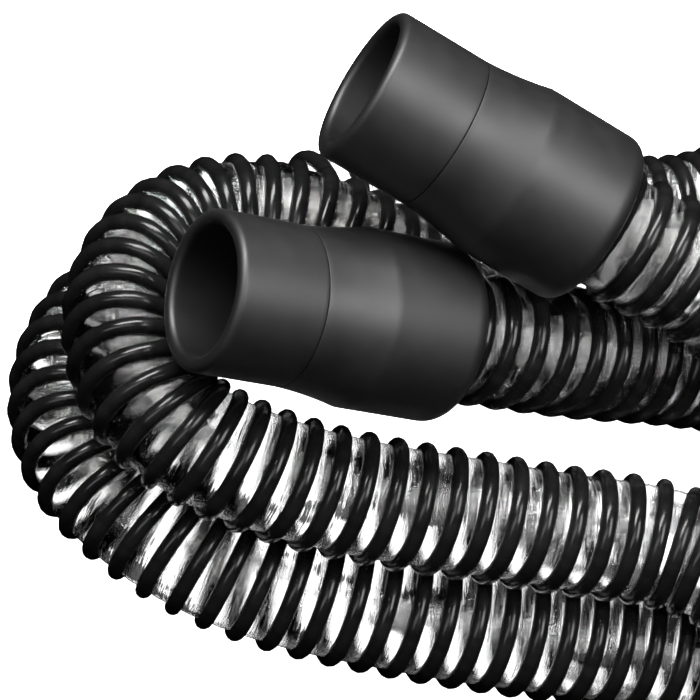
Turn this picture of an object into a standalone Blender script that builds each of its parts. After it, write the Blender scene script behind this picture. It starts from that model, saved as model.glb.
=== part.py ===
"""A coiled, helix-ribbed vacuum hose with a two-piece swivel cuff on each end.

The driving sizes are in millimetres, and MM turns them into Blender's metres.
Each cuff is built along its own local Z: the mouth's face is at zero, the mouth
points along +Z, and depths are counted backwards from the face.
"""
import math

import bpy
import numpy as np
from mathutils import Vector

MM = 0.001
GAP = 0.3  # space left between pieces that touch

# Hose
HOSE_R = 20.0  # over the helix rib
FILM_R = 17.2  # outside of the clear film
FILM_WALL = 0.9
RIB_R = 1.0
RIB_LIFT = 0.5  # off the film, so that the straight steps of the rib stay clear of it
RIB_PITCH = 9.4
RIB_POINTS_PER_TURN = 20
WALL = 3.6  # hose envelope: the film, its corrugation and the rib on it
TUBE_SPACING = 24.0
TUBE_LEAD = 2.0

# Cuff outline, as depth from the mouth's face
CUFF_LEN = 82.0
MOUTH_R = 23.5
MOUTH_BORE_R = 19.0
MOUTH_LEN = 28.0
LIP_R = 2.0
FLARE_END = 49.5
BODY_R = 26.5
SHOULDER_R = 5.5
REAR_BORE_R = 20.6

# Swivel inside the cuff
NECK_R = 21.4  # tail of the mouth sleeve
CHAMBER_START = 44.0
CHAMBER_R = 23.8
CHAMBER_END = 77.5
WASHER_T = 1.0
FLANGE_T = 2.4
FLANGE_R = 23.3
SEAL_R = 0.9
RING_T = 1.4
COLLAR_R = 23.4
COLLAR_BORE_R = 20.3

TURN_STEPS = 48
INNER_STEPS = 32

# The coil's own frame is moved so that the origin is the centre of its footprint
OFFSET = Vector((-60.2, 3.5, -0.45))

# Mouth centre, then the heading and the upward tilt of the way it points, in degrees
CUFFS = {
    "a": (Vector((-66.8, -19.6, 110.3)), 183.2, 17.4),
    "b": (Vector((-30.6, 41.4, 131.0)), 160.6, 9.0),
}

# The hose's centreline from the rear of cuff B, through the coil, to the rear of cuff A
ROUTE = [
    # from cuff B over cuff A's run, and round the right-hand end
    (73, 7, 113), (94, -1, 108.5), (115, -7, 104.5), (139, -10, 102), (165, -10.5, 100),
    (191.5, -21.5, 94.5), (202.5, -48, 85), (191.5, -74.5, 76), (165, -85.5, 69),
    # onto the outer run and leftwards along the upper front run
    (141, -81, 63), (118, -70, 57), (94, -62, 52.5), (66, -61, 51.5), (36, -60.5, 52),
    (8, -60, 52.5), (-20, -58, 54), (-45, -53.5, 57),
    # the upper left-hand bend, and the back run going down to the floor
    (-67.5, -42.5, 60), (-78.5, -21, 61.5), (-75, 0, 62), (-60.5, 14, 62), (-35, 19, 61.5),
    (-14, 16.5, 57), (6, 11.5, 47), (27, 4, 37), (50, 2.5, 26.5), (78, 5, 21),
    # the floor-level loop that joins the two back runs
    (108, 6, 20.5), (139, 6.5, 20), (170, 8, 20), (195.5, 20.5, 20), (206.5, 46, 20.5),
    (196, 72, 20), (170, 83.5, 20.5), (146.5, 78, 20.5), (125, 65, 20.5), (104, 55, 20.5),
    # the rear run and the lower left-hand bend
    (77, 51.5, 20), (48, 53, 20), (19, 48.5, 20), (-10, 40.5, 20), (-35.5, 25, 20),
    (-59.5, 9.5, 20), (-79.5, -7.5, 20), (-87, -30, 20), (-82, -49, 20), (-66, -64.5, 20),
    # the lower front run
    (-44, -76, 20), (-16, -83, 20), (13, -86, 20), (43, -87.5, 20), (72, -88, 20),
    (102, -89, 20), (133, -90, 20.5), (163, -89, 21),
    # round the right-hand end and up to cuff A
    (190.5, -77, 25.5), (202.5, -49, 38), (190.5, -21.5, 50.5), (163, -9.5, 58.5),
    (134, -7, 60), (110, -7, 61.5), (86, -8, 66), (62, -11, 72), (38, -13.5, 79),
]


# ---------------------------------------------------------------- scene, materials
def clear_scene():
    for obj in list(bpy.data.objects):
        bpy.data.objects.remove(obj)


def material(name, colour, roughness, alpha=1.0):
    mat = bpy.data.materials.new(name)
    mat.use_nodes = True
    shader = mat.node_tree.nodes["Principled BSDF"]
    shader.inputs["Base Color"].default_value = (*colour, 1.0)
    shader.inputs["Roughness"].default_value = roughness
    shader.inputs["Metallic"].default_value = 0.0
    shader.inputs["Alpha"].default_value = alpha
    return mat


def add_node(name, data, mat, parent=None):
    obj = bpy.data.objects.new(name, data)
    data.materials.append(mat)
    bpy.data.collections["vacuum_hose"].objects.link(obj)
    obj.parent = parent
    return obj


# ---------------------------------------------------------------- shapes
def arc(centre_r, centre_depth, radius, start, end, steps=4):
    """Points of a rounded corner, as (radius, depth), between two angles in degrees."""
    points = []
    for i in range(steps + 1):
        angle = math.radians(start + (end - start) * i / steps)
        points.append((centre_r + radius * math.cos(angle), centre_depth + radius * math.sin(angle)))
    return points


def turned(name, profile, steps, mat, parent):
    """A ring turned from a closed outline of (radius, depth) points.

    The outline runs down the outer side and back up the bore.
    """
    mesh = bpy.data.meshes.new(name)
    verts = [(r * MM, 0.0, -depth * MM) for r, depth in profile]
    edges = [(i, (i + 1) % len(verts)) for i in range(len(verts))]
    mesh.from_pydata(verts, edges, [])
    obj = add_node(name, mesh, mat, parent)
    screw = obj.modifiers.new("turn", "SCREW")
    screw.steps = screw.render_steps = steps
    screw.use_merge_vertices = True
    screw.merge_threshold = 0.00001
    screw.use_smooth_shade = True
    return obj


def flat_ring(name, outer, bore, start, end, mat, parent):
    profile = [(outer, start), (outer, end), (bore, end), (bore, start)]
    return turned(name, profile, INNER_STEPS, mat, parent)


def wire(name, points, radius, resolution, mat, parent=None):
    """A round rod along the points, with filled ends."""
    curve = bpy.data.curves.new(name, "CURVE")
    curve.dimensions = "3D"
    curve.bevel_depth = radius * MM
    curve.bevel_resolution = resolution
    curve.use_fill_caps = True
    spline = curve.splines.new("POLY")
    spline.points.add(len(points) - 1)
    for spot, co in zip(spline.points, points):
        spot.co = (*(Vector(co) * MM), 1.0)
    return add_node(name, curve, mat, parent)


# ---------------------------------------------------------------- route of the hose
def heading(yaw, pitch):
    yaw, pitch = math.radians(yaw), math.radians(pitch)
    return Vector((math.cos(pitch) * math.cos(yaw), math.cos(pitch) * math.sin(yaw), math.sin(pitch)))


def cuff_rear(end):
    mouth, yaw, pitch = CUFFS[end]
    return mouth + OFFSET - heading(yaw, pitch) * CUFF_LEN


def smooth_curve(points, first_dir, last_dir, steps=16):
    """The cubic spline through the points that leaves and arrives along the two directions."""
    pts = np.array(points, float)
    span = np.linalg.norm(np.diff(pts, axis=0), axis=1)
    count = len(pts)
    matrix = np.zeros((count, count))
    target = np.zeros((count, 3))
    matrix[0, 0] = matrix[-1, -1] = 1.0
    target[0] = first_dir
    target[-1] = last_dir
    for i in range(1, count - 1):
        before, after = 1 / span[i - 1], 1 / span[i]
        matrix[i, i - 1:i + 2] = before, 2 * (before + after), after
        target[i] = 3 * ((pts[i] - pts[i - 1]) * before ** 2 + (pts[i + 1] - pts[i]) * after ** 2)
    slope = np.linalg.solve(matrix, target)
    line = []
    for i in range(count - 1):
        for t in np.arange(steps) / steps:
            a, b = 2 * t ** 3 - 3 * t ** 2 + 1, t ** 3 - 2 * t ** 2 + t
            c, d = 3 * t ** 2 - 2 * t ** 3, t ** 3 - t ** 2
            line.append(a * pts[i] + b * span[i] * slope[i] + c * pts[i + 1] + d * span[i] * slope[i + 1])
    line.append(pts[-1])
    return np.array(line)


def evenly_spaced(line, spacing, trim):
    """Points along the line about a spacing apart, with a trim and a short lead at each end.

    The leads keep the end faces square to the line.
    """
    run = np.concatenate([[0.0], np.cumsum(np.linalg.norm(np.diff(line, axis=0), axis=1))])
    count = round(run[-1] / spacing) + 1
    inner = np.linspace(trim, run[-1] - trim, count)[1:-1]
    lead = trim + TUBE_LEAD
    places = np.concatenate([[trim, lead], inner, [run[-1] - lead, run[-1] - trim]])
    return np.array([np.interp(places, run, line[:, k]) for k in range(3)]).T


def hose_line():
    points = [cuff_rear("b")]
    points += [Vector(spot) + OFFSET for spot in ROUTE]
    points.append(cuff_rear("a"))
    return smooth_curve(points, -heading(*CUFFS["b"][1:]), heading(*CUFFS["a"][1:]))


# ---------------------------------------------------------------- pieces
def hose_tube(mat):
    points = evenly_spaced(hose_line(), TUBE_SPACING, GAP)
    tube = wire("hose_tube", points.tolist(), HOSE_R, 3, mat)
    tube.data.use_fill_caps = False
    wall = tube.modifiers.new("wall", "SOLIDIFY")
    wall.thickness = WALL * MM
    wall.offset = -1.0
    wall.use_even_offset = True
    return tube


def mouth_sleeve(end, mat, parent):
    """The turning front half: lip, grip barrel, neck and the flange that keeps it in."""
    flange = CHAMBER_START + WASHER_T + 2 * GAP
    lip = arc(MOUTH_R - LIP_R, LIP_R, LIP_R, -90, 0)
    inner_lip = arc(MOUTH_BORE_R + LIP_R / 2, LIP_R / 2, LIP_R / 2, 180, 270, 3)
    profile = lip + [
        (MOUTH_R, MOUTH_LEN), (NECK_R, MOUTH_LEN), (NECK_R, flange),
        (FLANGE_R, flange), (FLANGE_R, flange + FLANGE_T), (MOUTH_BORE_R, flange + FLANGE_T),
    ] + inner_lip
    return turned(f"mouth_sleeve_{end}", profile, TURN_STEPS, mat, parent)


def cuff_body(end, mat, parent):
    """The rear half: concave flare, full-diameter barrel, rounded shoulder, rear opening."""
    flare = []
    steps = 5
    for i in range(steps + 1):
        t = i / steps
        depth = MOUTH_LEN + GAP + (FLARE_END - MOUTH_LEN - GAP) * t
        flare.append((MOUTH_R + 0.3 + (BODY_R - MOUTH_R - 0.3) * (0.35 * t + 0.65 * t * t), depth))
    shoulder = arc(BODY_R - SHOULDER_R, CUFF_LEN - SHOULDER_R, SHOULDER_R, 0, 90, 5)
    profile = flare + shoulder + [
        (REAR_BORE_R, CUFF_LEN), (REAR_BORE_R, CHAMBER_END), (CHAMBER_R, CHAMBER_END),
        (CHAMBER_R, CHAMBER_START), (NECK_R + GAP, CHAMBER_START), (NECK_R + GAP, MOUTH_LEN + GAP),
    ]
    return turned(f"cuff_body_{end}", profile, TURN_STEPS, mat, parent)


def cuff_insides(end, mats, parent):
    """What holds the swivel together and grips the hose, in order from the mouth inwards."""
    depth = CHAMBER_START + GAP
    flat_ring(f"thrust_washer_{end}", FLANGE_R, NECK_R + GAP, depth, depth + WASHER_T, mats["nylon"], parent)

    depth += WASHER_T + GAP + FLANGE_T + GAP
    seal = arc(FLANGE_R - SEAL_R, depth + SEAL_R, SEAL_R, 0, 360, 8)[:-1]
    seal = seal[-2:] + seal[:-2]
    turned(f"seal_ring_{end}", seal, INNER_STEPS, mats["seal"], parent)

    depth += 2 * SEAL_R + GAP
    flat_ring(f"retaining_ring_{end}", FLANGE_R, COLLAR_BORE_R, depth, depth + RING_T, mats["steel"], parent)

    depth += RING_T + GAP
    flat_ring(f"hose_collar_{end}", COLLAR_R, COLLAR_BORE_R, depth, CHAMBER_END - GAP, mats["collar"], parent)

    flat_ring(f"film_end_{end}", FILM_R, FILM_R - FILM_WALL, depth, CUFF_LEN - GAP, mats["film"], parent)
    rib_centre = FILM_R + RIB_LIFT + RIB_R
    start = depth + 2 * RIB_R
    turns = (CHAMBER_END - start - 2 * RIB_R) / RIB_PITCH
    count = round(turns * RIB_POINTS_PER_TURN)
    points = []
    for i in range(count + 1):
        angle = 2 * math.pi * i / RIB_POINTS_PER_TURN
        along = start + RIB_PITCH * i / RIB_POINTS_PER_TURN
        points.append((rib_centre * math.cos(angle), rib_centre * math.sin(angle), -along))
    wire(f"helix_end_{end}", points, RIB_R, 1, mats["rib"], parent)


def cuff(end, mats):
    mouth, yaw, pitch = CUFFS[end]
    frame = bpy.data.objects.new(f"cuff_frame_{end}", None)
    bpy.data.collections["vacuum_hose"].objects.link(frame)
    frame.location = (mouth + OFFSET) * MM
    frame.rotation_euler = (0.0, math.radians(90 - pitch), math.radians(yaw))
    mouth_sleeve(end, mats["rubber"], frame)
    cuff_body(end, mats["rubber"], frame)
    cuff_insides(end, mats, frame)


def main():
    clear_scene()
    part = bpy.data.collections.new("vacuum_hose")
    bpy.context.scene.collection.children.link(part)
    mats = {
        "rubber": material("soft_rubber", (0.045, 0.045, 0.047), 0.55),
        "film": material("clear_film", (0.85, 0.85, 0.86), 0.08, 0.35),
        "rib": material("rib_black", (0.012, 0.012, 0.013), 0.2),
        "collar": material("collar_plastic", (0.03, 0.03, 0.032), 0.4),
        "nylon": material("washer_nylon", (0.75, 0.74, 0.7), 0.45),
        "seal": material("seal_rubber", (0.02, 0.02, 0.02), 0.6),
        "steel": material("ring_steel", (0.6, 0.6, 0.6), 0.3),
    }
    hose_tube(mats["film"])
    for end in CUFFS:
        cuff(end, mats)


main()
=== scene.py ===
"""Looks of the coiled vacuum hose: clear film, black helical rib and soft swivel cuffs."""
import math

import bpy
import numpy as np
from mathutils import Matrix, Vector


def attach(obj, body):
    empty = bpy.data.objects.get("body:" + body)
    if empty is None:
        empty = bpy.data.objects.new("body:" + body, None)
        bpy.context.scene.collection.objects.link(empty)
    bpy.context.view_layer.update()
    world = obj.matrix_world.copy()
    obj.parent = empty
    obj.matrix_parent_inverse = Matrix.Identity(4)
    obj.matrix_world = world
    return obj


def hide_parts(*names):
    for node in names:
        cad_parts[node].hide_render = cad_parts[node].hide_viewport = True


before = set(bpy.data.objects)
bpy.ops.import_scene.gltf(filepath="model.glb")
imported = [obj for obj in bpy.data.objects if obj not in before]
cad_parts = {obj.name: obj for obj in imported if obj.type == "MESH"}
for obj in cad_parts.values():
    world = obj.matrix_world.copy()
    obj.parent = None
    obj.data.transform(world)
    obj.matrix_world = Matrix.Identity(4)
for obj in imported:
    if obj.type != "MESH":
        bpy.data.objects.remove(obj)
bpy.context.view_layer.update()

MM = 0.001

# ---------------------------------------------------------------- sizes, in millimetres
HOSE_R = 20.0
RIB_R = 2.6  # thicker than the CAD's two short bead ends
RIB_CENTRE_R = HOSE_R - RIB_R
RIB_PITCH = 9.4
RIB_STEPS = 40  # round each turn
RIB_AROUND = 12
SQUEEZE = 0.9  # how far the turns close up in a bend, so that its outside keeps their pitch
STRAIGHT_BEND = 0.006  # bends gentler than this, in 1/mm, keep the plain pitch
BEND_AVERAGE = 31  # points of the line that a bend is averaged over
LEAN = 0.36  # of the turns in the end bends, their tops towards the back
FILM_VALLEY_R = 16.6
FILM_CROWN_R = 17.4
FILM_STEP = 1.5
FILM_AROUND = 44
CROWN_SHAPE = 0.6  # below 1, the film bulges full between turns
OPEN_FALL = 3.0  # how fast the haze goes as the turns close up
HAND = -1.0  # the rib's thread: -1 left-handed, 1 right-handed
HELD_LEN = 28.0  # of the hose, inside each cuff
HELD_TIP = 1.0  # the first point of the held part, from the cuff's rear end
HELD_STEPS = 24
EDGE_R = 0.12
REST_Z = 0.05  # the bead lies on the floor, pressed flat by half a millimetre at most
TURN_STEPS = 128
BARREL_STEPS = 8
FLARE_STEPS = 20
SHARP_ANGLE = 50  # in degrees
CUFF_LEN = 82.0
MOUTH_R = 23.5
MOUTH_BORE_R = 19.0
MOUTH_LEN = 28.0
LIP_R = 2.0
FLARE_END = 49.5
FLARE_FIRST = 0.08  # where the flare's points start, as a share of its length
FLARE_STRAIGHT = 0.35  # share of the flare's rise that is even
FLARE_CURVED = 0.65  # and the share that grows towards the crease
BODY_R = 26.5
SHOULDER_R = 5.5
REAR_BORE_R = 20.6
NECK_R = 21.4
CHAMBER_START = 44.0
CHAMBER_R = 23.8
CHAMBER_END = 77.5
FLANGE_START = 45.6
FLANGE_END = 48.0
FLANGE_R = 23.3
GAP = 0.3

# Painted shade in the cuffs' bores: within the first radius a cuff is darkest, and from the second it has
# its full tone, in metres
PAINTED_SHADE_R = 0.0192
FACE_TONE_R = 0.0225
PAINTED_BORE_SHADE = 0.1
MOTTLE_SCALE = 400.0

# ---------------------------------------------------------------- camera and light
CAMERA_RIGHT = (0.966, 0.076, 0.242)
CAMERA_UP = (-0.137, 0.960, 0.242)
CAMERA_DISTANCE = 1100.0
CAMERA_LENS = 178.6
CAMERA_ASIDE = 2.4
CAMERA_NEAR = 0.05
FLOOR_HALF = 2.5
FLOOR_GLOW = 2.2
WORLD_LEVEL = 0.9
LIT_SPOT = Vector((0.0, 0.0, 0.05))
LAMP_RISE = math.radians(48)  # of the lamp, from the camera's line towards the top of the picture

# ---------------------------------------------------------------- where everything lies
# Each cuff's mouth, yaw and pitch, and the points that the hose's centreline goes through

OFFSET = Vector((-60.2, 3.5, -0.45))
CUFFS = {
    "a": (Vector((-66.8, -19.6, 110.3)), 183.2, 17.4),
    "b": (Vector((-30.6, 41.4, 131.0)), 160.6, 9.0),
}
ROUTE = [
    # from cuff B over cuff A's run, and round the right-hand end
    (73, 7, 113), (94, -1, 108.5), (115, -7, 104.5), (139, -10, 102), (165, -10.5, 100),
    (191.5, -21.5, 94.5), (202.5, -48, 85), (191.5, -74.5, 76), (165, -85.5, 69),
    # onto the outer run and leftwards along the upper front run
    (141, -81, 63), (118, -70, 57), (94, -62, 52.5), (66, -61, 51.5), (36, -60.5, 52),
    (8, -60, 52.5), (-20, -58, 54), (-45, -53.5, 57),
    # the upper left-hand bend, and the back run going down to the floor
    (-67.5, -42.5, 60), (-78.5, -21, 61.5), (-75, 0, 62), (-60.5, 14, 62), (-35, 19, 61.5),
    (-14, 16.5, 57), (6, 11.5, 47), (27, 4, 37), (50, 2.5, 26.5), (78, 5, 21),
    # the floor-level loop that joins the two back runs
    (108, 6, 20.5), (139, 6.5, 20), (170, 8, 20), (195.5, 20.5, 20), (206.5, 46, 20.5),
    (196, 72, 20), (170, 83.5, 20.5), (146.5, 78, 20.5), (125, 65, 20.5), (104, 55, 20.5),
    # the rear run and the lower left-hand bend
    (77, 51.5, 20), (48, 53, 20), (19, 48.5, 20), (-10, 40.5, 20), (-35.5, 25, 20),
    (-59.5, 9.5, 20), (-79.5, -7.5, 20), (-87, -30, 20), (-82, -49, 20), (-66, -64.5, 20),
    # the lower front run
    (-44, -76, 20), (-16, -83, 20), (13, -86, 20), (43, -87.5, 20), (72, -88, 20),
    (102, -89, 20), (133, -90, 20.5), (163, -89, 21),
    # round the right-hand end and up to cuff A
    (190.5, -77, 25.5), (202.5, -49, 38), (190.5, -21.5, 50.5), (163, -9.5, 58.5),
    (134, -7, 60), (110, -7, 61.5), (86, -8, 66), (62, -11, 72), (38, -13.5, 79),
]


# ---------------------------------------------------------------- route of the hose
def heading(yaw, pitch):
    yaw, pitch = math.radians(yaw), math.radians(pitch)
    return Vector((math.cos(pitch) * math.cos(yaw), math.cos(pitch) * math.sin(yaw), math.sin(pitch)))


def cuff_rear(end):
    mouth, yaw, pitch = CUFFS[end]
    return mouth + OFFSET - heading(yaw, pitch) * CUFF_LEN


def smooth_curve(points, first_dir, last_dir, steps=24):
    """The cubic spline through the points that leaves and arrives along the two directions."""
    pts = np.array(points, float)
    span = np.linalg.norm(np.diff(pts, axis=0), axis=1)
    count = len(pts)
    matrix = np.zeros((count, count))
    target = np.zeros((count, 3))
    matrix[0, 0] = matrix[-1, -1] = 1.0
    target[0] = first_dir
    target[-1] = last_dir
    for i in range(1, count - 1):
        before, after = 1 / span[i - 1], 1 / span[i]
        matrix[i, i - 1:i + 2] = before, 2 * (before + after), after
        target[i] = 3 * ((pts[i] - pts[i - 1]) * before ** 2 + (pts[i + 1] - pts[i]) * after ** 2)
    slope = np.linalg.solve(matrix, target)
    line = []
    for i in range(count - 1):
        for t in np.arange(steps) / steps:
            a, b = 2 * t ** 3 - 3 * t ** 2 + 1, t ** 3 - 2 * t ** 2 + t
            c, d = 3 * t ** 2 - 2 * t ** 3, t ** 3 - t ** 2
            line.append(a * pts[i] + b * span[i] * slope[i] + c * pts[i + 1] + d * span[i] * slope[i + 1])
    line.append(pts[-1])
    return np.array(line)


class Sweep:
    """The hose's centreline with a frame that doesn't twist along it."""

    def __init__(self, line):
        self.line = line
        self.run = np.concatenate([[0.0], np.cumsum(np.linalg.norm(np.diff(line, axis=0), axis=1))])
        self.length = self.run[-1]
        tangent = np.gradient(line, axis=0)
        self.tangent = tangent / np.linalg.norm(tangent, axis=1)[:, None]
        side = np.cross(self.tangent[0], [0.0, 0.0, 1.0])
        sides = []
        for t in self.tangent:
            side = side - t * (side @ t)
            side = side / np.linalg.norm(side)
            sides.append(side)
        self.side = np.array(sides)
        bend = np.linalg.norm(np.gradient(self.tangent, axis=0), axis=1) / np.gradient(self.run)
        bend = np.convolve(bend, np.full(BEND_AVERAGE, 1 / BEND_AVERAGE), mode="same")
        closer = 1 + SQUEEZE * HOSE_R * np.maximum(bend - STRAIGHT_BEND, 0.0)
        self.closer = closer
        steps = np.diff(self.run) * (closer[1:] + closer[:-1]) / 2
        self.turns = np.concatenate([[0.0], np.cumsum(steps)]) / RIB_PITCH

    def at(self, places):
        """Points, tangents and two cross directions at distances along the line."""
        def pick(values):
            return np.array([np.interp(places, self.run, values[:, k]) for k in range(3)]).T
        point, tangent, side = pick(self.line), pick(self.tangent), pick(self.side)
        tangent /= np.linalg.norm(tangent, axis=1)[:, None]
        side -= tangent * (side * tangent).sum(axis=1)[:, None]
        side /= np.linalg.norm(side, axis=1)[:, None]
        return point, tangent, side, np.cross(tangent, side)

    def lean(self, places, angle):
        """How far along the hose its turns lie over at each place and angle."""
        _, tangent, side, up = self.at(places)
        height = np.cos(angle) * side[:, 2] + np.sin(angle) * up[:, 2]
        return LEAN * HOSE_R * tangent[:, 1] * height


def hose_sweep():
    """The centreline from inside cuff B's collar to inside cuff A's."""
    out_b, out_a = heading(*CUFFS["b"][1:]), heading(*CUFFS["a"][1:])
    points = [cuff_rear("b")] + [Vector(spot) + OFFSET for spot in ROUTE] + [cuff_rear("a")]
    line = smooth_curve(points, -out_b, out_a)
    inside = np.linspace(HELD_LEN, HELD_TIP, HELD_STEPS)[:, None]
    before = line[0] + inside * np.array(out_b)
    after = line[-1] + inside[::-1] * np.array(out_a)
    return Sweep(np.concatenate([before, line, after]))


# ---------------------------------------------------------------- meshes
def mesh_piece(name, rings, close_rings=False, cap_ends=False):
    """A surface through rings of points, each ring closed round."""
    count, around = rings.shape[:2]
    verts = rings.reshape(-1, 3) * MM
    a = np.arange(count if close_rings else count - 1)[:, None]
    b = np.arange(around)[None, :]
    nxt, right = (a + 1) % count, (b + 1) % around
    quads = np.stack([a * around + b, a * around + right, nxt * around + right, nxt * around + b], axis=-1)
    faces = quads.reshape(-1, 4).tolist()
    if cap_ends:
        faces.append(list(range(around))[::-1])
        faces.append([(count - 1) * around + i for i in range(around)])
    mesh = bpy.data.meshes.new(name)
    mesh.from_pydata(verts.tolist(), [], faces)
    mesh.shade_smooth()
    obj = bpy.data.objects.new(name, mesh)
    bpy.context.scene.collection.objects.link(obj)
    return obj


def straight_coordinates(obj, values):
    """Where each point would be if the hose lay straight, for the textures to follow."""
    field = obj.data.attributes.new("straight", "FLOAT_VECTOR", "POINT")
    field.data.foreach_set("vector", (values * MM).astype(np.float32).ravel())


def hose_film(sweep, mat):
    """The clear skin, drawn in under the rib and crowned between its turns."""
    count = round(sweep.length / FILM_STEP) + 1
    places = np.linspace(0.0, sweep.length, count)
    point, _, side, up = sweep.at(places)
    angle = np.linspace(0.0, 2 * np.pi, FILM_AROUND, endpoint=False)
    ring, around = (grid.ravel() for grid in np.meshgrid(places, angle, indexing="ij"))
    upright = (ring - sweep.lean(ring, around)).reshape(count, FILM_AROUND)
    turn = np.interp(upright, sweep.run, sweep.turns) - HAND * angle[None, :] / (2 * np.pi)
    crown = np.abs(np.sin(np.pi * turn)) ** CROWN_SHAPE
    radius = FILM_VALLEY_R + (FILM_CROWN_R - FILM_VALLEY_R) * crown
    cos, sin = np.cos(angle)[None, :, None], np.sin(angle)[None, :, None]
    rings = point[:, None] + radius[..., None] * (cos * side[:, None] + sin * up[:, None])
    obj = mesh_piece("hose_film", rings)
    flat = np.stack([radius * cos[..., 0], radius * sin[..., 0], upright], axis=-1)
    straight_coordinates(obj, flat.reshape(-1, 3))
    closer = np.interp(upright.ravel(), sweep.run, sweep.closer)
    opened = obj.data.attributes.new("opened", "FLOAT", "POINT")
    share = np.clip(1 - OPEN_FALL * (closer - 1), 0.0, 1.0)
    opened.data.foreach_set("value", share.astype(np.float32))
    obj.data.materials.append(mat)
    return obj


def helix_rib(sweep, mat):
    """The black bead wound round the film, from inside one cuff to inside the other."""
    first, last = np.interp([RIB_R, sweep.length - RIB_R], sweep.run, sweep.turns)
    count = round((last - first) * RIB_STEPS) + 1
    angle = 2 * np.pi * np.linspace(first, last, count)
    upright = np.interp(angle / (2 * np.pi), sweep.turns, sweep.run)
    places = np.clip(upright + sweep.lean(upright, HAND * angle), 0.0, sweep.length)
    point, _, side, up = sweep.at(places)
    out = np.cos(angle)[:, None] * side + HAND * np.sin(angle)[:, None] * up
    centre = point + RIB_CENTRE_R * out
    along = np.gradient(centre, axis=0)
    along /= np.linalg.norm(along, axis=1)[:, None]
    across = np.cross(along, out)
    across /= np.linalg.norm(across, axis=1)[:, None]
    section = np.linspace(0.0, 2 * np.pi, RIB_AROUND, endpoint=False)[None, :, None]
    spokes = np.cos(section) * out[:, None] + np.sin(section) * across[:, None]
    rings = centre[:, None] + RIB_R * spokes
    rings[..., 2] = np.maximum(rings[..., 2], REST_Z)
    obj = mesh_piece("helix_rib", rings, cap_ends=True)
    flat = np.stack([RIB_CENTRE_R * np.cos(angle), RIB_CENTRE_R * np.sin(angle), upright], axis=-1)
    straight_coordinates(obj, np.repeat(flat, RIB_AROUND, axis=0))
    obj.data.materials.append(mat)
    return obj


def arc(centre_r, centre_depth, radius, start, end, steps=8):
    """Points of a rounded corner, as (radius, depth), between two angles in degrees."""
    angles = np.radians(np.linspace(start, end, steps + 1))
    return [(centre_r + radius * math.cos(a), centre_depth + radius * math.sin(a)) for a in angles]


def turned(name, end, profile, mat):
    """A closed outline of (radius, depth) points turned about a cuff's axis."""
    mouth, yaw, pitch = CUFFS[end]
    axis = np.array(heading(yaw, pitch))
    side = np.cross(axis, [0.0, 0.0, 1.0])
    side /= np.linalg.norm(side)
    up = np.cross(side, axis)
    angle = np.linspace(0.0, 2 * np.pi, TURN_STEPS, endpoint=False)[None, :, None]
    outline = np.array(profile)[:, None, :]
    centre = np.array(mouth + OFFSET)
    spokes = np.cos(angle) * side + np.sin(angle) * up
    rings = centre - outline[..., 1:2] * axis + outline[..., 0:1] * spokes
    obj = mesh_piece(name, rings, close_rings=True)
    flat = np.broadcast_to(np.concatenate([
        outline[..., 0:1] * np.cos(angle), outline[..., 0:1] * np.sin(angle),
        outline[..., 1:2] + 0 * angle], axis=-1), rings.shape)
    straight_coordinates(obj, flat.reshape(-1, 3))
    obj.data.set_sharp_from_angle(angle=math.radians(SHARP_ANGLE))
    obj.data.materials.append(mat)
    return obj


def mouth_grip(end, mat):
    """The turning front half of a cuff, with its soft rolled lip."""
    edge = arc(MOUTH_R - EDGE_R, MOUTH_LEN - EDGE_R, EDGE_R, 0, 90, 3)
    depths = np.linspace(LIP_R + 1.0, MOUTH_LEN - EDGE_R - 1.0, BARREL_STEPS)
    barrel = [(MOUTH_R, d) for d in depths]
    profile = arc(MOUTH_R - LIP_R, LIP_R, LIP_R, -90, 0) + barrel + edge + [
        (NECK_R, MOUTH_LEN), (NECK_R, FLANGE_START), (FLANGE_R, FLANGE_START),
        (FLANGE_R, FLANGE_END), (MOUTH_BORE_R, FLANGE_END), (MOUTH_BORE_R, LIP_R + 1.0),
    ] + arc(MOUTH_BORE_R + LIP_R, LIP_R, LIP_R, 180, 270)
    return turned(f"mouth_grip_{end}", end, profile, mat)


def cuff_shell(end, mat):
    """The rear half: concave flare, faint crease, barrel and rounded shoulder."""
    start = MOUTH_LEN + GAP
    rise = BODY_R - MOUTH_R
    edge = arc(MOUTH_R - EDGE_R, start + EDGE_R, EDGE_R, -90, 0, 3)
    flare = []
    for t in np.linspace(FLARE_FIRST, 1.0, FLARE_STEPS):
        share = FLARE_STRAIGHT * t + FLARE_CURVED * t * t
        flare.append((MOUTH_R + rise * share, start + (FLARE_END - start) * t))
    depths = np.linspace(FLARE_END + 1.5, CUFF_LEN - SHOULDER_R - 1.0, BARREL_STEPS)
    barrel = [(BODY_R, d) for d in depths]
    shoulder = arc(BODY_R - SHOULDER_R, CUFF_LEN - SHOULDER_R, SHOULDER_R, 0, 90, 10)
    profile = edge + flare + barrel + shoulder + [
        (REAR_BORE_R, CUFF_LEN), (REAR_BORE_R, CHAMBER_END), (CHAMBER_R, CHAMBER_END),
        (CHAMBER_R, CHAMBER_START), (NECK_R + GAP, CHAMBER_START), (NECK_R + GAP, start),
    ]
    return turned(f"cuff_shell_{end}", end, profile, mat)


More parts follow.
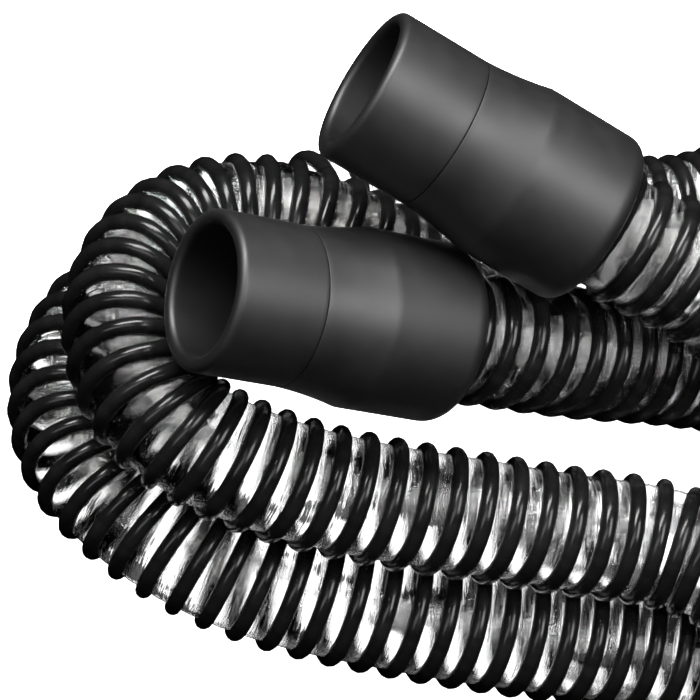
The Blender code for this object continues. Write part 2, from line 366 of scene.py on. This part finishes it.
# ---------------------------------------------------------------- materials
class Nodes:
    """A material with a Principled shader, and short ways to add nodes to it."""

    def __init__(self, name):
        self.mat = bpy.data.materials.new(name)
        self.mat.use_nodes = True
        self.tree = self.mat.node_tree
        self.shader = self.tree.nodes["Principled BSDF"]

    def add(self, kind, inputs=(), **settings):
        node = self.tree.nodes.new(kind)
        for key, value in settings.items():
            setattr(node, key, value)
        for key, value in dict(inputs).items():
            if isinstance(value, bpy.types.NodeSocket):
                self.tree.links.new(value, node.inputs[key])
            else:
                node.inputs[key].default_value = value
        return node

    def set(self, **values):
        for key, value in values.items():
            socket = self.shader.inputs[key.replace("_", " ")]
            if isinstance(value, bpy.types.NodeSocket):
                self.tree.links.new(value, socket)
            else:
                socket.default_value = value

    def noise(self, scale, detail, roughness, stretch=(1.0, 1.0, 1.0)):
        where = self.add("ShaderNodeAttribute", attribute_name="straight")
        place = self.add("ShaderNodeMapping", {"Vector": where.outputs["Vector"], "Scale": stretch})
        return self.add("ShaderNodeTexNoise", {
            "Vector": place.outputs["Vector"], "Scale": scale, "Detail": detail, "Roughness": roughness,
        }).outputs["Fac"]

    def ramp(self, value, start, end):
        """Grey between two (position, level) pairs."""
        ramp = self.add("ShaderNodeValToRGB", {"Fac": value})
        for index, (position, level) in enumerate((start, end)):
            ramp.color_ramp.elements[index].position = position
            ramp.color_ramp.elements[index].color = (level, level, level, 1.0)
        return ramp.outputs["Color"]

    def bump(self, height, distance, strength):
        bump = self.add("ShaderNodeBump", {
            "Height": height, "Distance": distance, "Strength": strength,
        })
        self.tree.links.new(bump.outputs["Normal"], self.shader.inputs["Normal"])
        return bump.outputs["Normal"]


def film_material():
    """Clear glossy vinyl, finely streaked round the hose, with painted dark smudges in its colour that
    stand in for dark reflections: hazier where the turns stand apart.
    """
    m = Nodes("clear_vinyl_film")
    streaks = m.noise(scale=60.0, detail=6.0, roughness=0.7, stretch=(1.0, 1.0, 22.0))
    patches = m.noise(scale=70.0, detail=2.0, roughness=0.5, stretch=(1.0, 1.0, 0.35))
    mixed = m.add("ShaderNodeMath", {0: streaks, 1: 0.5, 2: patches}, operation="MULTIPLY_ADD")
    # Painted reflection: the base colour turns near black in streaky smudges, standing in for dark
    # surroundings reflected in the film
    clear = m.ramp(mixed.outputs[0], start=(0.63, 0.005), end=(0.67, 1.0))
    opened = m.add("ShaderNodeAttribute", attribute_name="opened").outputs["Fac"]
    smears = m.noise(scale=85.0, detail=4.0, roughness=0.65, stretch=(1.0, 1.0, 14.0))
    haze = m.ramp(smears, start=(0.48, 0.0), end=(0.64, 0.2))
    hazed = m.add("ShaderNodeMath", {0: haze, 1: opened}, operation="MULTIPLY").outputs[0]
    through = m.add("ShaderNodeMath", {0: 1.0, 1: hazed}, operation="SUBTRACT").outputs[0]
    m.set(Base_Color=clear, Transmission_Weight=through, Roughness=0.03, IOR=1.04)
    m.set(Coat_Weight=1.0, Coat_IOR=2.2, Coat_Roughness=0.05)
    normal = m.bump(streaks, distance=0.0009, strength=1.0)
    m.set(Coat_Normal=normal)
    return m.mat


def rib_material():
    """Glossy black bead, very slightly uneven from extrusion."""
    m = Nodes("black_rib")
    uneven = m.noise(scale=220.0, detail=3.0, roughness=0.5)
    tone = m.ramp(uneven, start=(0.3, 0.003), end=(0.7, 0.006))
    rough = m.ramp(uneven, start=(0.3, 0.16), end=(0.7, 0.26))
    m.set(Base_Color=tone, Roughness=rough, Specular_IOR_Level=0.16)
    m.bump(uneven, distance=0.00015, strength=0.25)
    return m.mat


def cuff_material():
    """Soft charcoal vinyl with a fine moulded grain, faint handling marks and painted shade darkening its
    bores.
    """
    m = Nodes("charcoal_cuff")
    grain = m.noise(scale=2600.0, detail=2.0, roughness=0.5)
    marks = m.noise(scale=70.0, detail=5.0, roughness=0.65)
    where = m.add("ShaderNodeAttribute", attribute_name="straight")
    across = m.add("ShaderNodeVectorMath", {
        0: where.outputs["Vector"], 1: (1.0, 1.0, 0.0),
    }, operation="MULTIPLY")
    radius = m.add("ShaderNodeVectorMath", {0: across.outputs[0]}, operation="LENGTH").outputs["Value"]
    # Painted shade: the base colour darkens towards the bore, standing in for the shade inside the cuff
    painted_bore_shade = m.add("ShaderNodeMapRange", {
        "Value": radius, "From Min": PAINTED_SHADE_R, "From Max": FACE_TONE_R,
        "To Min": PAINTED_BORE_SHADE, "To Max": 1.0,
    }).outputs[0]
    mottle = m.ramp(marks, start=(0.3, 0.0045), end=(0.7, 0.0065))
    tone = m.add("ShaderNodeVectorMath", {0: mottle, "Scale": painted_bore_shade}, operation="SCALE").outputs[0]
    rough = m.ramp(marks, start=(0.3, 0.46), end=(0.7, 0.54))
    m.set(Base_Color=tone, Roughness=rough, Specular_IOR_Level=0.4)
    m.bump(grain, distance=0.00004, strength=0.35)
    return m.mat


def plain_material(name, dark, light, rough, metallic=0.0):
    """For the pieces inside the cuffs: a slightly mottled moulding or a ring of steel."""
    m = Nodes(name)
    where = m.add("ShaderNodeTexCoord")
    mottle = m.add("ShaderNodeTexNoise", {
        "Vector": where.outputs["Object"], "Scale": MOTTLE_SCALE, "Detail": 3.0,
    }).outputs["Fac"]
    tone = m.ramp(mottle, start=(0.3, dark), end=(0.7, light))
    m.set(Base_Color=tone, Roughness=rough, Metallic=metallic)
    m.bump(mottle, distance=0.00005, strength=0.3)
    return m.mat


# ---------------------------------------------------------------- stage
def rolled_camera():
    """A long lens looking down at about 70 degrees, rolled so that the coil lies across the picture."""
    right = Vector(CAMERA_RIGHT).normalized()
    up = Vector(CAMERA_UP)
    up = (up - right * up.dot(right)).normalized()
    back = right.cross(up)
    data = bpy.data.cameras.new("camera")
    data.lens = CAMERA_LENS
    data.clip_start = CAMERA_NEAR
    camera = bpy.data.objects.new("camera", data)
    turn = Matrix((right, up, back)).transposed().to_4x4()
    place = (OFFSET + right * CAMERA_ASIDE + back * CAMERA_DISTANCE) * MM
    camera.matrix_world = Matrix.Translation(place) @ turn
    bpy.context.scene.collection.objects.link(camera)
    bpy.context.scene.camera = camera
    return right, up, back


def softbox(name, way, away, width, height, power):
    """A rectangular light that faces the coil, some metres away from it."""
    place = LIT_SPOT + away * way
    data = bpy.data.lights.new(name, "AREA")
    data.shape = "RECTANGLE"
    data.size = width
    data.size_y = height
    data.energy = power
    light = bpy.data.objects.new(name, data)
    light.location = place
    light.rotation_euler = (LIT_SPOT - place).to_track_quat("-Z", "Y").to_euler()
    bpy.context.scene.collection.objects.link(light)


def floor():
    """A glowing white floor that throws nothing back on the coil."""
    mesh = bpy.data.meshes.new("floor")
    signs = [(-1, -1), (1, -1), (1, 1), (-1, 1)]
    corners = [(FLOOR_HALF * x, FLOOR_HALF * y, 0) for x, y in signs]
    mesh.from_pydata(corners, [], [(0, 1, 2, 3)])
    obj = bpy.data.objects.new("floor", mesh)
    bpy.context.scene.collection.objects.link(obj)
    m = Nodes("pale_floor")
    m.set(Base_Color=(0.9, 0.9, 0.9, 1.0), Roughness=0.9)
    m.set(Emission_Color=(1.0, 1.0, 1.0, 1.0), Emission_Strength=FLOOR_GLOW)
    mesh.materials.append(m.mat)
    obj.visible_glossy = False
    obj.visible_diffuse = False


def studio(right, up, back):
    """A key light to the right of the camera, a dim panel to its left, and a strong lamp for the glints."""
    world = bpy.context.scene.world or bpy.data.worlds.new("studio")
    bpy.context.scene.world = world
    world.use_nodes = True
    background = world.node_tree.nodes["Background"]
    background.inputs["Color"].default_value = (1.0, 1.0, 1.0, 1.0)
    background.inputs["Strength"].default_value = WORLD_LEVEL
    world.cycles_visibility.glossy = False
    world.cycles_visibility.diffuse = False
    lamp_way = math.cos(LAMP_RISE) * back + math.sin(LAMP_RISE) * up - 0.1 * right
    key_way = (back + 0.7 * right + 0.22 * up).normalized()
    panel_way = (back - 0.3 * right + 0.1 * up).normalized()
    softbox("key", key_way, away=1.2, width=0.6, height=0.6, power=21.0)
    softbox("panel", panel_way, away=1.3, width=0.4, height=1.0, power=8.0)
    softbox("lamp", lamp_way, away=1.15, width=0.9, height=0.36, power=48.0)


# ---------------------------------------------------------------- the whole
def finish_node(name, mat):
    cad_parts[name].data.materials.clear()
    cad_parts[name].data.materials.append(mat)


def build_hose():
    sweep = hose_sweep()
    film = hose_film(sweep, film_material())
    rib = helix_rib(sweep, rib_material())
    for piece, slot in ((film, "film"), (rib, "rib")):
        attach(piece, "root")
    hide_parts("hose_tube", "film_end_a", "film_end_b")
    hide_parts("helix_end_a", "helix_end_b")


def build_cuffs():
    rubber = cuff_material()
    for end in CUFFS:
        grip = mouth_grip(end, rubber)
        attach(grip, f"mouth_{end}")
        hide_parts(f"mouth_sleeve_{end}")
        shell = cuff_shell(end, rubber)
        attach(shell, "root")
        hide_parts(f"cuff_body_{end}")


def finish_inside():
    finishes = {
        "thrust_washer": plain_material("natural_nylon", dark=0.55, light=0.72, rough=0.45),
        "seal_ring": plain_material("seal_rubber", dark=0.012, light=0.022, rough=0.55),
        "retaining_ring": plain_material("spring_steel", dark=0.45, light=0.6, rough=0.3, metallic=1.0),
        "hose_collar": plain_material("collar_plastic", dark=0.02, light=0.035, rough=0.4),
    }
    for kind, mat in finishes.items():
        for end in CUFFS:
            finish_node(f"{kind}_{end}", mat)


directions = rolled_camera()
build_hose()
build_cuffs()
finish_inside()
floor()
studio(*directions)
bpy.context.scene.view_settings.view_transform = "Standard"
